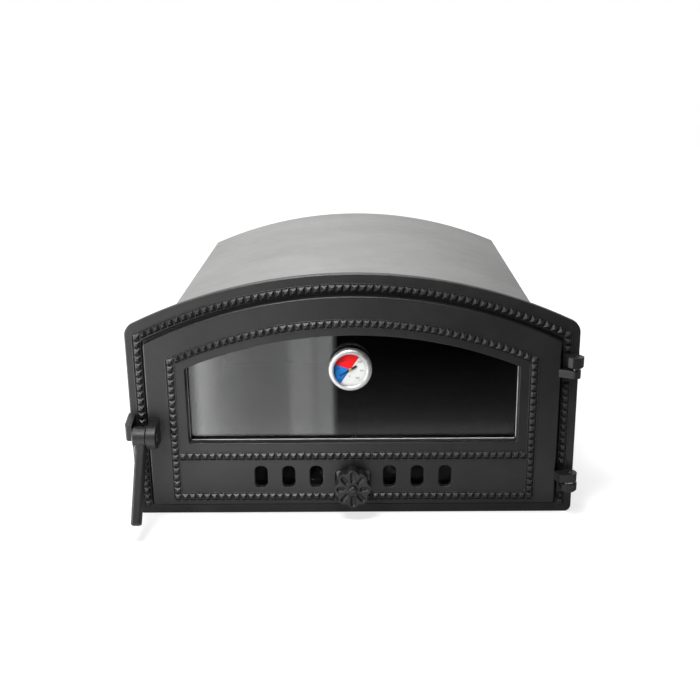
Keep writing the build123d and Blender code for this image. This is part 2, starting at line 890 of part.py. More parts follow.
def make_knob_nut():
    front = slide_front() + slide_thickness
    nut = slab(Pos(0, knob_level) * hexagon(knob_nut_across), front, front + knob_nut_height)
    return nut - rod_y(0, knob_level, screw_radius, front - overcut, front + knob_nut_height + overcut)


# Latch

def lever_left():
    return ear_left - latch_gap - lever_head_width


def make_lever():
    left = lever_left()
    right = left + lever_head_width
    head = rod_x(latch_y, latch_pin_level, lever_head_radius, left, right)
    head = chamfer(head.edges(), lever_head_edge)
    lean = math.radians(lever_lean)
    down = (-math.sin(lean), -math.cos(lean))
    out = (-math.cos(lean), math.sin(lean))

    def spot(along, across):
        return (latch_y + down[0] * along + out[0] * across, latch_pin_level + down[1] * along + out[1] * across)

    root = lever_root_thickness / 2
    end = lever_end_thickness / 2
    middle = (root + end) / 2
    front_root = spot(0, root)
    front_end = spot(lever_length, end)
    back_root = spot(0, -root)
    back_end = spot(lever_length, -end)
    side = make_face([
        ThreePointArc(front_root, spot(lever_length / 2, middle + lever_bow), front_end),
        Line(front_end, back_end),
        ThreePointArc(back_end, spot(lever_length / 2, lever_bow - middle), back_root),
        Line(back_root, front_root),
    ])
    neck = left + lever_neck_inset
    grip = neck - lever_drift
    front = Plane(origin=(0, latch_y, latch_pin_level), x_dir=(1, 0, 0), z_dir=(0, out[0], out[1]))
    outline = make_face(Polyline((left, 0), (neck, -lever_neck_end), (grip, -lever_length - overcut),
                                 (grip + lever_width, -lever_length - overcut),
                                 (neck + lever_width, -lever_neck_end), (right, 0), close=True))
    bar = extrude(side_plane(left) * side, amount=lever_head_width)
    bar &= extrude(front * outline, amount=2 * lever_head_radius, both=True)
    bar = fillet(bar.edges(), lever_edge_round)
    nose = block(left - nose_reach, left + nose_root, latch_y + nose_front, latch_y + nose_back,
                 latch_pin_level - nose_height / 2, latch_pin_level + nose_height / 2)
    lever = head + bar + nose
    start = left - nose_reach - overcut
    lever -= rod_x(latch_y, latch_pin_level, latch_pin_radius + running_clearance, start, right + overcut)
    lever -= rod_x(latch_y, latch_pin_level, clip_radius + sheet_gap, start, left + clip_recess)
    return lever


def make_latch_pin():
    pin = rod_x(latch_y, latch_pin_level, latch_pin_radius, lever_left(), ear_right)
    cap = rod_x(latch_y, latch_pin_level, latch_pin_head_radius, ear_right, ear_right + latch_pin_head)
    cap = fillet(cap.edges().sort_by(Axis.X)[-1], latch_pin_head * dome_share)
    return pin + cap


def make_latch_clip():
    left = lever_left() + (clip_recess - clip_thickness) / 2
    clip = rod_x(latch_y, latch_pin_level, clip_radius, left, left + clip_thickness)
    return clip - rod_x(latch_y, latch_pin_level, latch_pin_radius, left - overcut, left + clip_thickness + overcut)


# Thermometer

def case_back():
    return glass_y - thermo_washer


def bezel_front():
    return door_face_y - bezel_proud


def case_front():
    return bezel_front() + bezel_lip


def dial_front():
    return case_front() + dial_depth


def thermo_rod(radius, front, back):
    return rod_y(thermo_x, thermo_level, radius, front, back)


def make_case():
    """A cup with a ledge that the dial lies on."""
    cup = thermo_rod(case_radius, case_front(), case_back())
    cup -= thermo_rod(case_radius - case_wall, case_front() - overcut, dial_front() + dial_thickness)
    cup -= thermo_rod(case_radius - case_wall - dial_ledge, case_front(), case_back() - case_wall)
    return cup - thermo_rod(probe_radius, case_back() - 2 * case_wall, case_back() + overcut)


def make_bezel():
    front = bezel_front()
    ring_solid = thermo_rod(bezel_radius, front, front + bezel_depth)
    outer_edge = ring_solid.edges().sort_by(Axis.Y)[0]
    ring_solid = fillet(outer_edge, bezel_round)
    ring_solid -= thermo_rod(case_radius, case_front(), case_back())
    ring_solid -= thermo_rod(bezel_inner_radius, front - overcut, case_back())
    front_edges = ring_solid.faces().sort_by(Axis.Y)[0].inner_wires()[0].edges()
    return chamfer(front_edges, bezel_edge)


def make_lens():
    return thermo_rod(case_radius - case_wall - sheet_gap, case_front(), case_front() + lens_thickness)


def make_dial():
    dial = thermo_rod(case_radius - case_wall - sheet_gap, dial_front(), dial_front() + dial_thickness)
    return dial - thermo_rod(spindle_radius + running_clearance, dial_front() - overcut,
                             dial_front() + dial_thickness + overcut)


def make_stem():
    back = case_back()
    stem = thermo_rod(probe_radius, back - case_wall, back) + thermo_rod(thread_radius, back, back + thread_length)
    stem += thermo_rod(probe_radius, back + thread_length, back + thread_length + probe_length)
    return fillet(stem.edges().sort_by(Axis.Y)[-1], probe_radius * dome_share)


def make_thermo_washers():
    rings = []
    for front in (case_back(), glass_back_y):
        disc = thermo_rod(thermo_washer_radius, front, front + thermo_washer)
        rings.append(disc - thermo_rod(thread_radius, front - overcut, front + thermo_washer + overcut))
    return Compound(children=rings)


def make_thermo_nut():
    front = glass_back_y + thermo_washer
    nut = slab(Pos(thermo_x, thermo_level) * hexagon(thermo_nut_across), front, front + thermo_nut_height)
    return nut - thermo_rod(thread_radius, front - overcut, front + thermo_nut_height + overcut)


def needle_front():
    return dial_front() - needle_rise - needle_thickness


def make_needle():
    tip = Polyline((0, -needle_width / 2), (needle_length, -needle_width / 4), (needle_length, needle_width / 4),
                   (0, needle_width / 2), close=True)
    flat = make_face(tip)
    flat += Pos(-needle_tail / 2, 0) * RectangleRounded(needle_tail, needle_tail_width, needle_width / 2)
    flat += Circle(needle_hub_radius)
    flat -= Circle(spindle_radius)
    flat = Pos(thermo_x, thermo_level) * Rot(0, 0, needle_rest_angle) * flat
    return slab(flat, needle_front(), needle_front() + needle_thickness)


def make_spindle():
    front = needle_front()
    cap = thermo_rod(spindle_cap_radius, front - spindle_cap, front)
    cap = fillet(cap.edges().sort_by(Axis.Y)[0], spindle_cap * dome_share)
    return cap + thermo_rod(spindle_radius, front, dial_front() + dial_thickness / 2)


nodes = {
    "door_frame": make_frame,
    "oven_shell": make_shell,
    "floor_plate": make_floor,
    "back_plate": make_back,
    "baking_stone_left": lambda: make_stone(-1),
    "baking_stone_right": lambda: make_stone(1),
    "frame_bolts": make_bolts,
    "frame_nuts": make_nuts,
    "hinge_pin_top": make_upper_pin,
    "hinge_pin_bottom": make_lower_pin,
    "hinge_washer": make_hinge_washer,
    "door_leaf": make_door,
    "door_seal": make_seal,
    "glass_gasket": make_gasket,
    "glass_pane": make_glass,
    "glass_clips": make_clips,
    "clip_screws": make_clip_screws,
    "slide_guide_upper": lambda: make_guide(True),
    "slide_guide_lower": lambda: make_guide(False),
    "guide_screws": make_guide_screws,
    "thermo_case": make_case,
    "thermo_bezel": make_bezel,
    "thermo_lens": make_lens,
    "thermo_dial": make_dial,
    "thermo_stem": make_stem,
    "thermo_washers": make_thermo_washers,
    "thermo_nut": make_thermo_nut,
    "thermo_needle": make_needle,
    "needle_spindle": make_spindle,
    "latch_pin": make_latch_pin,
    "latch_clip": make_latch_clip,
    "latch_lever": make_lever,
    "air_slide": make_slide,
    "slide_knob": make_knob,
    "knob_bush": make_knob_bush,
    "knob_screw": make_knob_screw,
    "knob_nut": make_knob_nut,
}

os.makedirs("parts", exist_ok=True)
for name, make in nodes.items():
    export_step(make(), f"parts/{name}.step")
    print(name)
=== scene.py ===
import json
import math

import bpy
from mathutils import Matrix, Vector


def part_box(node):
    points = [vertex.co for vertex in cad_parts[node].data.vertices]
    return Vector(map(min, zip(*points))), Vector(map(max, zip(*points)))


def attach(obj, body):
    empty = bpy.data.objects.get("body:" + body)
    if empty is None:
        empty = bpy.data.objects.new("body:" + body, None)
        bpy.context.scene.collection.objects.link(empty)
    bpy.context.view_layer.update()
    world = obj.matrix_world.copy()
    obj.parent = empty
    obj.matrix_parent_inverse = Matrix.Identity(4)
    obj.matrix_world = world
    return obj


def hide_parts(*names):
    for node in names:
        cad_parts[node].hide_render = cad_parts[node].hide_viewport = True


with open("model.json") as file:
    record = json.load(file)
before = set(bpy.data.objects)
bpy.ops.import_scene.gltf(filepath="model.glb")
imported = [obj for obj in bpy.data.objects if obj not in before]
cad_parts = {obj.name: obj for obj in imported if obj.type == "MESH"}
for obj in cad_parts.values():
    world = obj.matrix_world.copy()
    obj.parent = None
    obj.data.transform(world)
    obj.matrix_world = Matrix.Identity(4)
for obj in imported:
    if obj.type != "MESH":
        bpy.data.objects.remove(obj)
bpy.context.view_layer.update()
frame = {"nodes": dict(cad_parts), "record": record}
nodes = frame["nodes"]
mm = 0.001
print("frame loaded:", len(nodes), "nodes")


# Scene helpers

def addObject(name, data):
    added = bpy.data.objects.new(name, data)
    bpy.context.scene.collection.objects.link(added)
    return added


def flatSheet(name, start, end, height):  # one level rectangle between two corners
    (x0, y0), (x1, y1) = start, end
    mesh = bpy.data.meshes.new(name)
    corners = [(x0, y0, height), (x1, y0, height), (x1, y1, height), (x0, y1, height)]
    mesh.from_pydata(corners, [], [(0, 1, 2, 3)])
    return addObject(name, mesh)


# Shader helpers

def newMaterial(name):
    material = bpy.data.materials.new(name)
    material.use_nodes = True
    tree = material.node_tree
    return material, tree, tree.nodes["Principled BSDF"]


def place(tree, stretch=(1.0, 1.0, 1.0)):  # places on the object itself, in metres
    coords = tree.nodes.new("ShaderNodeTexCoord")
    mapping = tree.nodes.new("ShaderNodeMapping")
    mapping.inputs["Scale"].default_value = stretch
    tree.links.new(coords.outputs["Object"], mapping.inputs["Vector"])
    return mapping.outputs["Vector"]


def noise(tree, where, scale, detail=2.0, roughness=0.5):
    node = tree.nodes.new("ShaderNodeTexNoise")
    node.inputs["Scale"].default_value = scale
    node.inputs["Detail"].default_value = detail
    node.inputs["Roughness"].default_value = roughness
    tree.links.new(where, node.inputs["Vector"])
    return node.outputs["Fac"]


def cells(tree, where, scale):
    node = tree.nodes.new("ShaderNodeTexVoronoi")
    node.inputs["Scale"].default_value = scale
    tree.links.new(where, node.inputs["Vector"])
    return node.outputs["Distance"]


def ramp(tree, factor, stops):
    node = tree.nodes.new("ShaderNodeValToRGB")
    while len(node.color_ramp.elements) < len(stops):
        node.color_ramp.elements.new(1.0)
    for element, (position, colour) in zip(node.color_ramp.elements, stops):
        element.position = position
        element.color = (*colour, 1.0)
    tree.links.new(factor, node.inputs["Fac"])
    return node.outputs["Color"]


def remap(tree, value, fromLow, fromHigh, toLow, toHigh):
    node = tree.nodes.new("ShaderNodeMapRange")
    limits = (fromLow, fromHigh, toLow, toHigh)
    for socket, limit in zip(("From Min", "From Max", "To Min", "To Max"), limits):
        node.inputs[socket].default_value = limit
    tree.links.new(value, node.inputs["Value"])
    return node.outputs["Result"]


def spread(tree, cloud, low, high):  # most of a noise lies between 0.3 and 0.7
    return remap(tree, cloud, 0.3, 0.7, low, high)


def feed(tree, sockets, values):  # numbers are set on a socket, and outputs are linked to it
    for socket, value in zip(sockets, values):
        if value is None:
            continue
        if isinstance(value, (int, float, tuple, Vector)):
            socket.default_value = value
        else:
            tree.links.new(value, socket)


def maths(tree, operation, first, second=None):
    node = tree.nodes.new("ShaderNodeMath")
    node.operation = operation
    feed(tree, node.inputs, (first, second))
    return node.outputs["Value"]


def vectorMaths(tree, operation, first, second=None):
    node = tree.nodes.new("ShaderNodeVectorMath")
    node.operation = operation
    feed(tree, node.inputs, (first, second))
    return node.outputs["Value" if operation in ("DOT_PRODUCT", "LENGTH") else "Vector"]


def blendColours(tree, factor, first, second):
    node = tree.nodes.new("ShaderNodeMix")
    node.data_type = "RGBA"
    colours = [(*value, 1.0) if isinstance(value, tuple) else value for value in (first, second)]
    feed(tree, (node.inputs[0], node.inputs[6], node.inputs[7]), (factor, *colours))
    return node.outputs[2]


def blendClouds(tree, first, second, share):
    rest = maths(tree, "MULTIPLY", second, 1.0 - share)
    return maths(tree, "ADD", maths(tree, "MULTIPLY", first, share), rest)


def bump(tree, height, strength, distance, under=None):
    node = tree.nodes.new("ShaderNodeBump")
    node.inputs["Strength"].default_value = strength
    node.inputs["Distance"].default_value = distance
    tree.links.new(height, node.inputs["Height"])
    if under:
        tree.links.new(under, node.inputs["Normal"])
    return node.outputs["Normal"]


# Finishes

castSkin = {
    "deep": (0.009, 0.009, 0.0088),
    "pale": (0.015, 0.015, 0.0146),
    "worn": (0.050, 0.049, 0.047),
    "roughness": (0.36, 0.48),
    "gloss": 0.5,
    "cloud": 26.0,
    "fleck": 700.0,
    "grain": 1100.0,
    "grainDepth": 0.16 * mm,
    "swell": 90.0,
    "swellDepth": 0.35 * mm,
    "edge": 0.7 * mm,
    "edgeSamples": 6,
    "edgeReach": 0.35,
    "edgeWear": (0.1, 0.6),
}


def softNormal(tree):
    rounded = tree.nodes.new("ShaderNodeBevel")
    rounded.samples = castSkin["edgeSamples"]
    rounded.inputs["Radius"].default_value = castSkin["edge"]
    return rounded.outputs["Normal"]


def wornEdges(tree, soft):  # 1 where the softened and the true normal part most
    flat = tree.nodes.new("ShaderNodeNewGeometry")
    agree = vectorMaths(tree, "DOT_PRODUCT", soft, flat.outputs["Normal"])
    return remap(tree, agree, 1.0 - castSkin["edgeReach"], 1.0, 1.0, 0.0)


def castFinish():
    material, tree, shader = newMaterial("blackCast")
    where = place(tree)
    cloud = noise(tree, where, castSkin["cloud"], 5.0, 0.6)
    speckle = noise(tree, where, castSkin["fleck"], 3.0, 0.7)
    paint = ramp(tree, cloud, ((0.35, castSkin["deep"]), (0.65, castSkin["pale"])))
    flecks = remap(tree, speckle, 0.62, 0.80, 0.0, 0.35)
    paint = blendColours(tree, flecks, paint, castSkin["worn"])
    soft = softNormal(tree)
    edge = maths(tree, "MULTIPLY", wornEdges(tree, soft), spread(tree, speckle, *castSkin["edgeWear"]))
    paint = blendColours(tree, edge, paint, castSkin["worn"])
    tree.links.new(paint, shader.inputs["Base Color"])
    tree.links.new(spread(tree, speckle, *castSkin["roughness"]), shader.inputs["Roughness"])
    swell = bump(tree, noise(tree, where, castSkin["swell"], 2.0), 0.5, castSkin["swellDepth"], soft)
    skin = bump(tree, noise(tree, where, castSkin["grain"], 4.0, 0.65), 0.6, castSkin["grainDepth"], swell)
    tree.links.new(skin, shader.inputs["Normal"])
    shader.inputs["Specular IOR Level"].default_value = castSkin["gloss"]
    return material


sheetSteel = {
    "dark": (0.29, 0.29, 0.285),
    "light": (0.39, 0.39, 0.385),
    "roughness": (0.30, 0.44),
    "grainAcross": 12.0,
    "grainAlong": 900.0,
    "grainDepth": 0.03 * mm,
    "cloud": 7.0,
    "blotch": 60.0,
    # painted shade: the near black, matte coat that stands in for the dark inside of the chamber
    "chamberShade": (0.012, 0.0115, 0.011),
    "chamberShadeRoughness": 0.85,
    "middle": (0.0, 0.27, 0.12),
}


def inwardFacing(tree, middle):  # 1 on walls that face the middle of the baking chamber
    coords = tree.nodes.new("ShaderNodeTexCoord")
    offset = vectorMaths(tree, "SUBTRACT", coords.outputs["Object"], middle)
    facing = vectorMaths(tree, "DOT_PRODUCT", offset, coords.outputs["Normal"])
    return maths(tree, "LESS_THAN", facing, -0.01)


def sheetFinish():
    material, tree, shader = newMaterial("sheetSteel")
    along = place(tree, (sheetSteel["grainAcross"], sheetSteel["grainAlong"], sheetSteel["grainAlong"]))
    streaks = noise(tree, along, 1.0, 4.0, 0.6)
    where = place(tree)
    cloud = noise(tree, where, sheetSteel["cloud"], 4.0, 0.6)
    blotch = noise(tree, where, sheetSteel["blotch"], 3.0)
    tone = blendClouds(tree, streaks, cloud, 0.5)
    steel = ramp(tree, tone, ((0.38, sheetSteel["dark"]), (0.62, sheetSteel["light"])))
    rough = remap(tree, blendClouds(tree, streaks, blotch, 0.6), 0.35, 0.65, *sheetSteel["roughness"])
    inner = inwardFacing(tree, sheetSteel["middle"])  # walls facing the chamber's middle are painted near black and matte instead of steel, a painted shade for the dark chamber
    tree.links.new(blendColours(tree, inner, steel, sheetSteel["chamberShade"]), shader.inputs["Base Color"])
    tree.links.new(maths(tree, "SUBTRACT", 1.0, inner), shader.inputs["Metallic"])
    chamberShadeRough = maths(tree, "MULTIPLY", inner, sheetSteel["chamberShadeRoughness"])
    tree.links.new(maths(tree, "MAXIMUM", rough, chamberShadeRough), shader.inputs["Roughness"])
    tree.links.new(bump(tree, streaks, 0.25, sheetSteel["grainDepth"]), shader.inputs["Normal"])
    return material


fireClay = {
    # pale and deep sit near black, far below fireclay's own tan: painted shade for the dark chamber. The grog
    # specks and clouding are the clay's own.
    "pale": (0.075, 0.073, 0.070),
    "deep": (0.050, 0.049, 0.047),
    "grog": (0.022, 0.021, 0.020),
    "roughness": (0.85, 0.95),
    "gloss": 0.1,
    "cloud": 18.0,
    "grogGrain": 380.0,
    "pores": 900.0,
    "poreDepth": 0.3 * mm,
}


def stoneFinish():
    material, tree, shader = newMaterial("fireClay")
    where = place(tree)
    cloud = noise(tree, where, fireClay["cloud"], 6.0, 0.6)
    colour = ramp(tree, cloud, ((0.3, fireClay["deep"]), (0.7, fireClay["pale"])))
    grog = remap(tree, cells(tree, where, fireClay["grogGrain"]), 0.10, 0.22, 0.8, 0.0)
    tree.links.new(blendColours(tree, grog, colour, fireClay["grog"]), shader.inputs["Base Color"])
    tree.links.new(spread(tree, cloud, *fireClay["roughness"]), shader.inputs["Roughness"])
    pores = bump(tree, noise(tree, where, fireClay["pores"], 5.0, 0.7), 0.6, fireClay["poreDepth"])
    tree.links.new(pores, shader.inputs["Normal"])
    shader.inputs["Specular IOR Level"].default_value = fireClay["gloss"]
    return material


plainMetals = {
    "boltSteel": {"dark": (0.30, 0.30, 0.30), "light": (0.50, 0.50, 0.49), "roughness": (0.28, 0.42),
                  "scratch": 900.0},
    "caseSteel": {"dark": (0.50, 0.50, 0.50), "light": (0.64, 0.64, 0.63), "roughness": (0.22, 0.34),
                  "scratch": 500.0},
    "brass": {"dark": (0.55, 0.38, 0.14), "light": (0.72, 0.53, 0.24), "roughness": (0.18, 0.30),
              "scratch": 900.0},
}


def metalFinish(name):
    metal = plainMetals[name]
    material, tree, shader = newMaterial(name)
    where = place(tree)
    spots = noise(tree, where, metal["scratch"], 4.0, 0.65)
    film = noise(tree, where, 120.0, 3.0)
    mixed = blendClouds(tree, spots, film, 0.5)
    colour = ramp(tree, mixed, ((0.35, metal["dark"]), (0.65, metal["light"])))
    tree.links.new(colour, shader.inputs["Base Color"])
    tree.links.new(spread(tree, mixed, *metal["roughness"]), shader.inputs["Roughness"])
    tree.links.new(bump(tree, spots, 0.3, 0.03 * mm), shader.inputs["Normal"])
    shader.inputs["Metallic"].default_value = 1.0
    return material


dialLow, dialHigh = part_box("thermo_dial")
dialCentre = ((dialLow[0] + dialHigh[0]) / 2, dialLow[1], (dialLow[2] + dialHigh[2]) / 2)

turnedBezel = {
    "dark": (0.58, 0.58, 0.58),
    "light": (0.74, 0.74, 0.73),
    "roughness": (0.40, 0.52),
    "groovePitch": 0.5 * mm,
    "grooveTone": 0.12,
    "grooveDepth": 0.02 * mm,
    "film": 260.0,
}


def turnedFinish():  # fine turning marks round the dial's axis
    material, tree, shader = newMaterial("turnedChrome")
    coords = tree.nodes.new("ShaderNodeTexCoord")
    offset = vectorMaths(tree, "SUBTRACT", coords.outputs["Object"], dialCentre)
    radius = vectorMaths(tree, "LENGTH", vectorMaths(tree, "MULTIPLY", offset, (1.0, 0.0, 1.0)))
    grooves = maths(tree, "SINE", maths(tree, "MULTIPLY", radius, 2.0 * math.pi / turnedBezel["groovePitch"]))
    film = noise(tree, offset, turnedBezel["film"], 3.0)
    tone = maths(tree, "ADD", maths(tree, "MULTIPLY", grooves, turnedBezel["grooveTone"]), film)
    colour = ramp(tree, tone, ((0.35, turnedBezel["dark"]), (0.65, turnedBezel["light"])))
    tree.links.new(colour, shader.inputs["Base Color"])
    tree.links.new(spread(tree, film, *turnedBezel["roughness"]), shader.inputs["Roughness"])
    tree.links.new(bump(tree, grooves, 0.25, turnedBezel["grooveDepth"]), shader.inputs["Normal"])
    shader.inputs["Metallic"].default_value = 1.0
    return material


glassYarn = {
    "dark": (0.44, 0.44, 0.43),
    "light": (0.70, 0.70, 0.69),
    "roughness": (0.80, 0.95),
    "weave": 1100.0,
    "yarnDepth": 0.15 * mm,
    "dust": 160.0,
    "sheen": 0.2,
}


def fibreFinish():
    material, tree, shader = newMaterial("glassRope")
    where = place(tree)
    yarn = cells(tree, where, glassYarn["weave"])
    dust = noise(tree, where, glassYarn["dust"], 4.0)
    tone = blendClouds(tree, yarn, dust, 0.35)
    colour = ramp(tree, tone, ((0.35, glassYarn["dark"]), (0.60, glassYarn["light"])))
    tree.links.new(colour, shader.inputs["Base Color"])
    tree.links.new(spread(tree, dust, *glassYarn["roughness"]), shader.inputs["Roughness"])
    tree.links.new(bump(tree, yarn, 0.5, glassYarn["yarnDepth"]), shader.inputs["Normal"])
    shader.inputs["Sheen Weight"].default_value = glassYarn["sheen"]
    return material


panes = {
    "clearGlass": {"tint": (0.82, 0.85, 0.84), "clear": (0.98, 0.99, 0.985), "smear": 0.004, "index": 1.52},
    "lensGlass": {"tint": (0.97, 0.98, 0.98), "clear": (0.98, 0.99, 0.985), "smear": 0.005, "index": 1.08},
}


def glassFinish(name):
    pane = panes[name]
    material, tree, shader = newMaterial(name)
    haze = noise(tree, place(tree), 12.0, 4.0, 0.6)
    tree.links.new(ramp(tree, haze, ((0.3, pane["tint"]), (0.8, pane["clear"]))), shader.inputs["Base Color"])
    tree.links.new(remap(tree, haze, 0.45, 0.75, 0.0, pane["smear"]), shader.inputs["Roughness"])
    shader.inputs["Transmission Weight"].default_value = 1.0
    shader.inputs["IOR"].default_value = pane["index"]
    return material


dialFace = {
    "white": (0.60, 0.60, 0.59),
    "shade": (0.50, 0.50, 0.49),
    "red": (0.70, 0.003, 0.006),
    "blue": (0.003, 0.12, 0.40),
    "redFrom": 55.0,
    "redTo": 160.0,
    "blueTo": 236.0,
    "sectorRadius": 23.0 * mm,
    "roughness": (0.55, 0.70),
    "gloss": 0.15,
}


def dialFinish():
    material, tree, shader = newMaterial("dialPrint")
    coords = tree.nodes.new("ShaderNodeTexCoord")
    offset = vectorMaths(tree, "SUBTRACT", coords.outputs["Object"], dialCentre)
    parts = tree.nodes.new("ShaderNodeSeparateXYZ")
    tree.links.new(offset, parts.inputs[0])
    across, rise = parts.outputs["X"], parts.outputs["Z"]
    angle = maths(tree, "ARCTAN2", rise, across)
    turn = maths(tree, "MODULO", maths(tree, "ADD", angle, 2.0 * math.pi), 2.0 * math.pi)
    squares = maths(tree, "ADD", maths(tree, "MULTIPLY", across, across), maths(tree, "MULTIPLY", rise, rise))
    inside = maths(tree, "LESS_THAN", maths(tree, "SQRT", squares), dialFace["sectorRadius"])

    def sector(low, high):
        above = maths(tree, "GREATER_THAN", turn, math.radians(low))
        below = maths(tree, "LESS_THAN", turn, math.radians(high))
        return maths(tree, "MULTIPLY", maths(tree, "MULTIPLY", above, below), inside)

    grain = noise(tree, offset, 900.0, 3.0)
    white = blendColours(tree, spread(tree, grain, 0.0, 0.10), dialFace["white"], dialFace["shade"])
    colour = blendColours(tree, sector(dialFace["redFrom"], dialFace["redTo"]), white, dialFace["red"])
    colour = blendColours(tree, sector(dialFace["redTo"], dialFace["blueTo"]), colour, dialFace["blue"])
    tree.links.new(colour, shader.inputs["Base Color"])
    tree.links.new(spread(tree, grain, *dialFace["roughness"]), shader.inputs["Roughness"])
    shader.inputs["Specular IOR Level"].default_value = dialFace["gloss"]
    return material


dialInk = {"dark": (0.006, 0.006, 0.006), "light": (0.016, 0.016, 0.016), "roughness": (0.60, 0.75)}


def inkFinish():
    material, tree, shader = newMaterial("blackInk")
    grain = noise(tree, place(tree), 1200.0, 3.0)
    colour = ramp(tree, grain, ((0.3, dialInk["dark"]), (0.7, dialInk["light"])))
    tree.links.new(colour, shader.inputs["Base Color"])
    tree.links.new(spread(tree, grain, *dialInk["roughness"]), shader.inputs["Roughness"])
    return material


finishBySlot = {
    "cast": castFinish(),
    "sheet": sheetFinish(),
    "stone": stoneFinish(),
    "fastener": metalFinish("boltSteel"),
    "case": metalFinish("caseSteel"),
    "brass": metalFinish("brass"),
    "bezel": turnedFinish(),
    "rope": fibreFinish(),
    "glass": glassFinish("clearGlass"),
    "lens": glassFinish("lensGlass"),
    "dial": dialFinish(),
    "needle": inkFinish(),
}
print("finishes ready")

for entry in frame["record"]["subparts"]:
    mesh = nodes[entry["node"]].data
    mesh.materials.clear()
    mesh.materials.append(finishBySlot[entry["material_slot"]])
nodes["thermo_lens"].visible_shadow = False  # the lamps reach the dial
print("finishes on", len(nodes), "nodes")


# Rope seal and window tape

def meshPiece(name, vertices, faces, body, slot):
    mesh = bpy.data.meshes.new(name)
    mesh.from_pydata(vertices, [], faces)
    mesh.validate()
    mesh.materials.append(finishBySlot[slot])
    piece = addObject(name, mesh)
    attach(piece, body)
    return piece


def archPath(half, foot, apex, radius, corner, step):  # a loop of points round an arched outline
    points = []
    shoulder = apex - radius + math.sqrt(radius ** 2 - half ** 2)
    lean = math.asin(half / radius)
    cornerSteps = 8

    def run(start, end):
        count = max(2, round((end - start).length / step))
        points.extend(start.lerp(end, i / count) for i in range(count))

    def turnRound(x, z, start):
        for i in range(cornerSteps):
            turn = start + math.pi / 2 * i / cornerSteps
            points.append(Vector((x + corner * math.cos(turn), 0, z + corner * math.sin(turn))))

    run(Vector((-half + corner, 0, foot)), Vector((half - corner, 0, foot)))
    turnRound(half - corner, foot + corner, -math.pi / 2)
    run(Vector((half, 0, foot + corner)), Vector((half, 0, shoulder - corner)))
    top = []
    topSteps = round(2 * lean * radius / step)
    for i in range(topSteps + 1):
        turn = lean - 2 * lean * i / topSteps
        top.append(Vector((radius * math.sin(turn), 0, apex - radius + radius * math.cos(turn))))
    cut = max(1, round(corner / step))  # the arch's ends are cut off short of the sharp shoulders
    points.extend(top[cut:-cut])
    run(Vector((-half, 0, shoulder - corner)), Vector((-half, 0, foot + corner)))
    turnRound(-half + corner, foot + corner, math.pi)
    return points


def loopSeat(low, high, values):  # a path inside the seat's box, and the box's middle and half its depth
    inset = values["width"] / 2
    path = archPath(high[0] - inset, low[2] + inset, high[2] - inset, values["radius"], values["corner"],
                    values["step"])
    return path, (high[1] + low[1]) / 2, (high[1] - low[1]) / 2


def loopMesh(name, path, sides, shape, slot):  # shape gives the section's points along the path
    vertices = []
    faces = []
    count = len(path)
    along = 0.0
    for i, point in enumerate(path):
        ahead = path[(i + 1) % count]
        behind = path[i - 1]
        heading = (ahead - behind).normalized()
        outward = Vector((heading.z, 0, -heading.x))
        for j in range(sides):
            across, deep = shape(along, 2 * math.pi * j / sides)
            vertices.append(point + outward * across + Vector((0, deep, 0)))
        along += (ahead - point).length
        for j in range(sides):
            a, b = i * sides + j, i * sides + (j + 1) % sides
            c, d = (i + 1) % count * sides + j, (i + 1) % count * sides + (j + 1) % sides
            faces.append((a, b, d, c))
    piece = meshPiece(name, vertices, faces, "door", slot)
    for polygon in piece.data.polygons:
        polygon.use_smooth = True
    return piece


ropeSeal = {
    "sides": 20,
    "step": 1.2 * mm,
    "width": 4.6 * mm,
    "corner": 3.0 * mm,
    "radius": 561.5 * mm,
    "strands": 3,
    "strandLength": 5.0 * mm,
    "relief": 0.20 * mm,
}


def makeRopeSeal():
    low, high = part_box("door_seal")
    path, middle, deep = loopSeat(low, high, ropeSeal)
    half = ropeSeal["width"] / 2

    def braid(along, turn):
        wind = 2 * math.pi * along / ropeSeal["strandLength"]
        twist = ropeSeal["strands"] * turn
        ridge = max(abs(math.sin(twist + wind)), abs(math.sin(twist - wind)))
        dip = ropeSeal["relief"] * (1 - ridge)
        return (half - dip) * math.cos(turn), middle + (deep - dip) * math.sin(turn)

    rope = loopMesh("ropeSeal", path, ropeSeal["sides"], braid, "rope")
    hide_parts("door_seal")


windowTape = {
    "sides": 12,
    "step": 2.0 * mm,
    "width": 5.7 * mm,
    "corner": 2.0 * mm,
    "radius": 521.2 * mm,
    "squareness": 0.28,  # 1 is an oval section, 0 a square one
}


def makeWindowTape():
    low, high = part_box("glass_gasket")
    path, middle, deep = loopSeat(low, high, windowTape)
    half = windowTape["width"] / 2

    def flat(along, turn):
        across = math.copysign(abs(math.cos(turn)) ** windowTape["squareness"], math.cos(turn))
        rise = math.copysign(abs(math.sin(turn)) ** windowTape["squareness"], math.sin(turn))
        return half * across, middle + deep * rise

    tape = loopMesh("windowTape", path, windowTape["sides"], flat, "rope")
    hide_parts("glass_gasket")


makeRopeSeal()
makeWindowTape()
print("rope seal and window tape laid")


# Marks on the dial, with angles in degrees from the right and figures' radii in mm

dialScale = {
    "from": 224.0,
    "to": -52.0,
    "ticks": 31,
    "longEvery": 5,
    "tickOuter": 18.6 * mm,
    "tickShort": 1.1 * mm,
    "tickLong": 1.8 * mm,
    "tickWidth": 0.40 * mm,
    "inkDepth": 0.05 * mm,
    "figureSize": 3.4 * mm,
    "figures": (("50", 178.0, 14.4), ("100", 132.0, 14.4), ("150", 86.0, 15.0), ("200", 40.0, 14.6),
                ("250", -6.0, 13.6), ("300", -52.0, 13.6), ("°C", 263.0, 9.0)),
}


def onDial(radius, degrees, lift=0.0):
    turn = math.radians(degrees)
    across, rise = radius * math.cos(turn), radius * math.sin(turn)
    return Vector((dialCentre[0] + across, dialCentre[1] - lift, dialCentre[2] + rise))


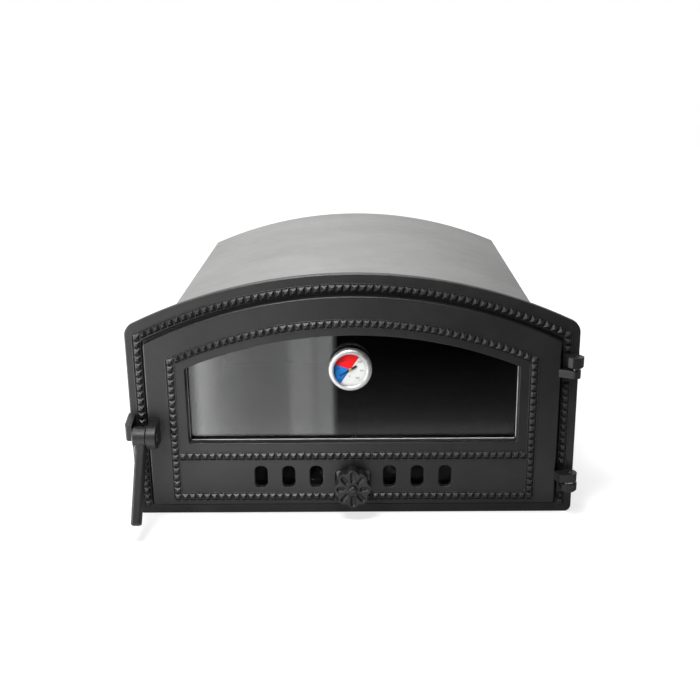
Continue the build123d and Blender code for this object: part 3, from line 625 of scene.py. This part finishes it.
def makeTicks():
    vertices = []
    faces = []
    lift = Vector((0, -dialScale["inkDepth"], 0))
    for i in range(dialScale["ticks"]):
        share = i / (dialScale["ticks"] - 1)
        degrees = dialScale["from"] + share * (dialScale["to"] - dialScale["from"])
        length = dialScale["tickLong"] if i % dialScale["longEvery"] == 0 else dialScale["tickShort"]
        outer = onDial(dialScale["tickOuter"], degrees)
        inner = onDial(dialScale["tickOuter"] - length, degrees)
        turn = math.radians(degrees)
        side = Vector((-math.sin(turn), 0, math.cos(turn))) * dialScale["tickWidth"] / 2
        base = len(vertices)
        corners = [outer + side, outer - side, inner - side, inner + side]
        vertices += corners + [corner + lift for corner in corners]
        faces += [[base + j for j in (0, 1, 2, 3)], [base + j for j in (7, 6, 5, 4)]]
        faces += [[base + j, base + 4 + j, base + 4 + (j + 1) % 4, base + (j + 1) % 4] for j in range(4)]
    meshPiece("dialTicks", vertices, faces, "door", "needle")


def makeFigure(text, degrees, radius):
    name = "figureUnit" if "C" in text else "figure" + text
    curve = bpy.data.curves.new(name, "FONT")
    curve.body = text
    curve.size = dialScale["figureSize"]
    curve.align_x = "CENTER"
    curve.align_y = "CENTER"
    curve.extrude = dialScale["inkDepth"] / 2
    curve.materials.append(finishBySlot["needle"])
    figure = addObject(name, curve)
    figure.location = onDial(radius * mm, degrees, dialScale["inkDepth"] / 2)
    figure.rotation_euler = (math.pi / 2, 0, 0)
    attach(figure, "door")


makeTicks()
for text, degrees, radius in dialScale["figures"]:
    makeFigure(text, degrees, radius)
print("dial marked")


# Studio

paleFloor = {
    "half": 4.0,
    "colour": (0.30, 0.30, 0.30, 1.0),  # for the light that it throws back at the oven
    "seenColour": (0.40, 0.40, 0.40, 1.0),
    "glowNear": 0.70,
    "glowFar": 1.0,
    "glowReach": (0.45, 1.3),
}


def makeFloor():
    half = paleFloor["half"]
    floor = flatSheet("floor", (-half, -half), (half, half), 0)
    material, tree, shader = newMaterial("paleFloor")
    tree.nodes.remove(shader)
    # what is seen straight on, mirrored or through glass glows to white and still takes a shadow
    light = tree.nodes.new("ShaderNodeLightPath")
    seen = maths(tree, "MAXIMUM", light.outputs["Is Camera Ray"], light.outputs["Is Glossy Ray"])
    seen = maths(tree, "MAXIMUM", seen, light.outputs["Is Transmission Ray"])
    seen = maths(tree, "MULTIPLY", seen, maths(tree, "LESS_THAN", light.outputs["Diffuse Depth"], 0.5))
    plain = tree.nodes.new("ShaderNodeBsdfDiffuse")
    plain.inputs["Color"].default_value = paleFloor["colour"]
    share = tree.nodes.new("ShaderNodeBsdfDiffuse")
    share.inputs["Color"].default_value = paleFloor["seenColour"]
    glow = tree.nodes.new("ShaderNodeEmission")
    coords = tree.nodes.new("ShaderNodeTexCoord")
    away = vectorMaths(tree, "LENGTH", coords.outputs["Object"])
    strength = remap(tree, away, *paleFloor["glowReach"], paleFloor["glowNear"], paleFloor["glowFar"])
    tree.links.new(strength, glow.inputs["Strength"])
    both = tree.nodes.new("ShaderNodeAddShader")
    tree.links.new(share.outputs[0], both.inputs[0])
    tree.links.new(glow.outputs[0], both.inputs[1])
    choice = tree.nodes.new("ShaderNodeMixShader")
    tree.links.new(seen, choice.inputs["Fac"])
    tree.links.new(plain.outputs[0], choice.inputs[1])
    tree.links.new(both.outputs[0], choice.inputs[2])
    tree.links.new(choice.outputs[0], tree.nodes["Material Output"].inputs["Surface"])
    floor.data.materials.append(material)


room = {
    "ambient": 0.08,
    "gleamTowards": (-0.40, 0.80, 0.45),
    "gleamSlope": 1.7,
    "gleamOffset": -0.615,
    "gleamLeast": 0.06,
}


def makeWorld():
    world = bpy.data.worlds.new("studioWorld")
    bpy.context.scene.world = world
    world.use_nodes = True
    tree = world.node_tree
    background = tree.nodes["Background"]
    background.inputs["Color"].default_value = (1.0, 1.0, 1.0, 1.0)
    # mirrors see a room that is brightest behind the oven at the upper left
    light = tree.nodes.new("ShaderNodeLightPath")
    coords = tree.nodes.new("ShaderNodeTexCoord")
    brightest = Vector(room["gleamTowards"]).normalized()
    lean = vectorMaths(tree, "DOT_PRODUCT", coords.outputs["Generated"], brightest)
    gleam = maths(tree, "ADD", maths(tree, "MULTIPLY", lean, room["gleamSlope"]), room["gleamOffset"])
    gleam = maths(tree, "MINIMUM", maths(tree, "MAXIMUM", gleam, room["gleamLeast"]), 1.0)
    mirrored = maths(tree, "MULTIPLY", light.outputs["Is Glossy Ray"], gleam)
    level = maths(tree, "MAXIMUM", light.outputs["Is Camera Ray"], mirrored)
    first = maths(tree, "LESS_THAN", light.outputs["Diffuse Depth"], 0.5)
    through = maths(tree, "MULTIPLY", light.outputs["Is Transmission Ray"], first)
    level = maths(tree, "MAXIMUM", level, through)
    tree.links.new(maths(tree, "MAXIMUM", level, room["ambient"]), background.inputs["Strength"])


lampAim = (0.0, 0.0, 0.15)
lamps = {
    "key": {"from": (-1.85, -1.36, 0.80), "size": 0.55, "power": 27.0},
    "top": {"from": (-0.15, 0.45, 1.55), "size": 0.90, "power": 18.0},
    "brow": {"from": (-0.28, -0.58, 1.42), "size": 0.45, "power": 18.0},
}


def makeLamp(name, values):
    data = bpy.data.lights.new(name, "AREA")
    data.shape = "DISK"
    data.size = values["size"]
    data.energy = values["power"]
    lamp = addObject(name, data)
    lamp.location = values["from"]
    aim = Vector(lampAim) - Vector(values["from"])
    lamp.rotation_euler = aim.to_track_quat("-Z", "Y").to_euler()


# A card on the floor that glows only in reflections and through glass. Its bands fan out from a point behind
# the oven and follow the slope of X over depth, and its rows follow Y. Each pair is a slope or a Y, and the
# strength there.
frontCard = {
    "from": (-1.6, -2.2),
    "to": (1.6, 0.62),
    "height": 1.0 * mm,
    "fan": (0.0137, 1.156),
    "slopes": (-0.80, 0.20),
    "bands": ((-0.80, 3.6), (-0.45, 3.6), (-0.25, 1.4), (-0.205, 0.9), (-0.190, 1.0), (-0.180, 1.6),
              (-0.1725, 3.9), (-0.163, 3.2), (-0.1516, 2.2), (-0.139, 1.8),
              (-0.120, 1.40), (-0.101, 1.32), (-0.081, 1.36), (-0.0725, 2.1), (-0.0568, 2.05), (-0.0505, 1.6),
              (-0.0442, 1.9), (-0.0335, 1.9), (-0.0295, 0.01), (0.190, 0.005)),
    "bandFade": (-0.27, -0.05, 1.0, 0.08),  # from Y to Y, from share to share
    "depths": (-0.66, 0.0),
    "rows": ((-0.66, 0.0), (-0.55, 0.03), (-0.448, 0.07), (-0.376, 0.12), (-0.306, 0.24), (-0.266, 0.48),
             (-0.22, 0.8), (-0.12, 1.35), (-0.05, 0.45), (0.0, 0.35)),
    "rowFade": (-0.03, 0.17, 1.0, 0.78),  # from slope to slope, from share to share
    "wing": (-0.29, -0.42, 0.0, 6.0),  # from slope to slope, from strength to strength
    "reach": 4.0,
}


def cardLevels(tree, value, limits, levels):  # strengths along one way, as shares of the card's reach
    low, high = limits
    stops = []
    for at, strength in levels:
        stops.append(((at - low) / (high - low), (strength / frontCard["reach"],) * 3))
    return ramp(tree, remap(tree, value, low, high, 0.0, 1.0), stops)


def makeFrontCard():
    card = flatSheet("frontCard", frontCard["from"], frontCard["to"], frontCard["height"])
    material, tree, shader = newMaterial("frontCardGlow")
    tree.nodes.remove(shader)
    coords = tree.nodes.new("ShaderNodeTexCoord")
    parts = tree.nodes.new("ShaderNodeSeparateXYZ")
    tree.links.new(coords.outputs["Object"], parts.inputs[0])
    across = maths(tree, "SUBTRACT", parts.outputs["X"], frontCard["fan"][0])
    depth = maths(tree, "SUBTRACT", frontCard["fan"][1], parts.outputs["Y"])
    slope = maths(tree, "DIVIDE", across, depth)
    bands = cardLevels(tree, slope, frontCard["slopes"], frontCard["bands"])
    rows = cardLevels(tree, parts.outputs["Y"], frontCard["depths"], frontCard["rows"])
    rows = maths(tree, "MULTIPLY", rows, remap(tree, slope, *frontCard["rowFade"]))
    bands = maths(tree, "MULTIPLY", bands, remap(tree, parts.outputs["Y"], *frontCard["bandFade"]))
    level = maths(tree, "MULTIPLY", maths(tree, "ADD", bands, rows), frontCard["reach"])
    level = maths(tree, "MAXIMUM", level, remap(tree, slope, *frontCard["wing"]))
    glow = tree.nodes.new("ShaderNodeEmission")
    tree.links.new(level, glow.inputs["Strength"])
    tree.links.new(glow.outputs[0], tree.nodes["Material Output"].inputs["Surface"])
    card.data.materials.append(material)
    card.visible_camera = False
    card.visible_diffuse = False
    card.visible_shadow = False


makeFloor()
makeWorld()
for lampName, lampValues in lamps.items():
    makeLamp(lampName, lampValues)
makeFrontCard()
print("studio ready")


# Camera, with its angles in degrees and its focal length in pixels of a picture 700 wide

cameraFit = {
    "place": (0.01370, -1.15396, 0.57364),
    "pitch": 17.40,
    "yaw": -0.79,
    "roll": -0.63,
    "focal": 1012.41,
    "pixels": 700.0,
    "sensor": 36.0,
    "nearest": 0.02,
}


def makeCamera():
    pitch, yaw, roll = (math.radians(cameraFit[key]) for key in ("pitch", "yaw", "roll"))
    ahead = Vector((math.sin(yaw) * math.cos(pitch), math.cos(yaw) * math.cos(pitch), -math.sin(pitch)))
    right = Vector((math.cos(yaw), -math.sin(yaw), 0))
    up = right.cross(ahead)
    across = right * math.cos(roll) + up * math.sin(roll)
    upward = up * math.cos(roll) - right * math.sin(roll)
    data = bpy.data.cameras.new("camera")
    data.sensor_fit = "HORIZONTAL"
    data.sensor_width = cameraFit["sensor"]
    data.lens = cameraFit["focal"] / cameraFit["pixels"] * cameraFit["sensor"]
    data.clip_start = cameraFit["nearest"]
    camera = addObject("camera", data)
    turned = Matrix((across, upward, -ahead)).transposed().to_4x4()
    camera.matrix_world = Matrix.Translation(cameraFit["place"]) @ turned
    bpy.context.scene.camera = camera


makeCamera()
bpy.context.scene.view_settings.view_transform = "Standard"
print("camera ready")
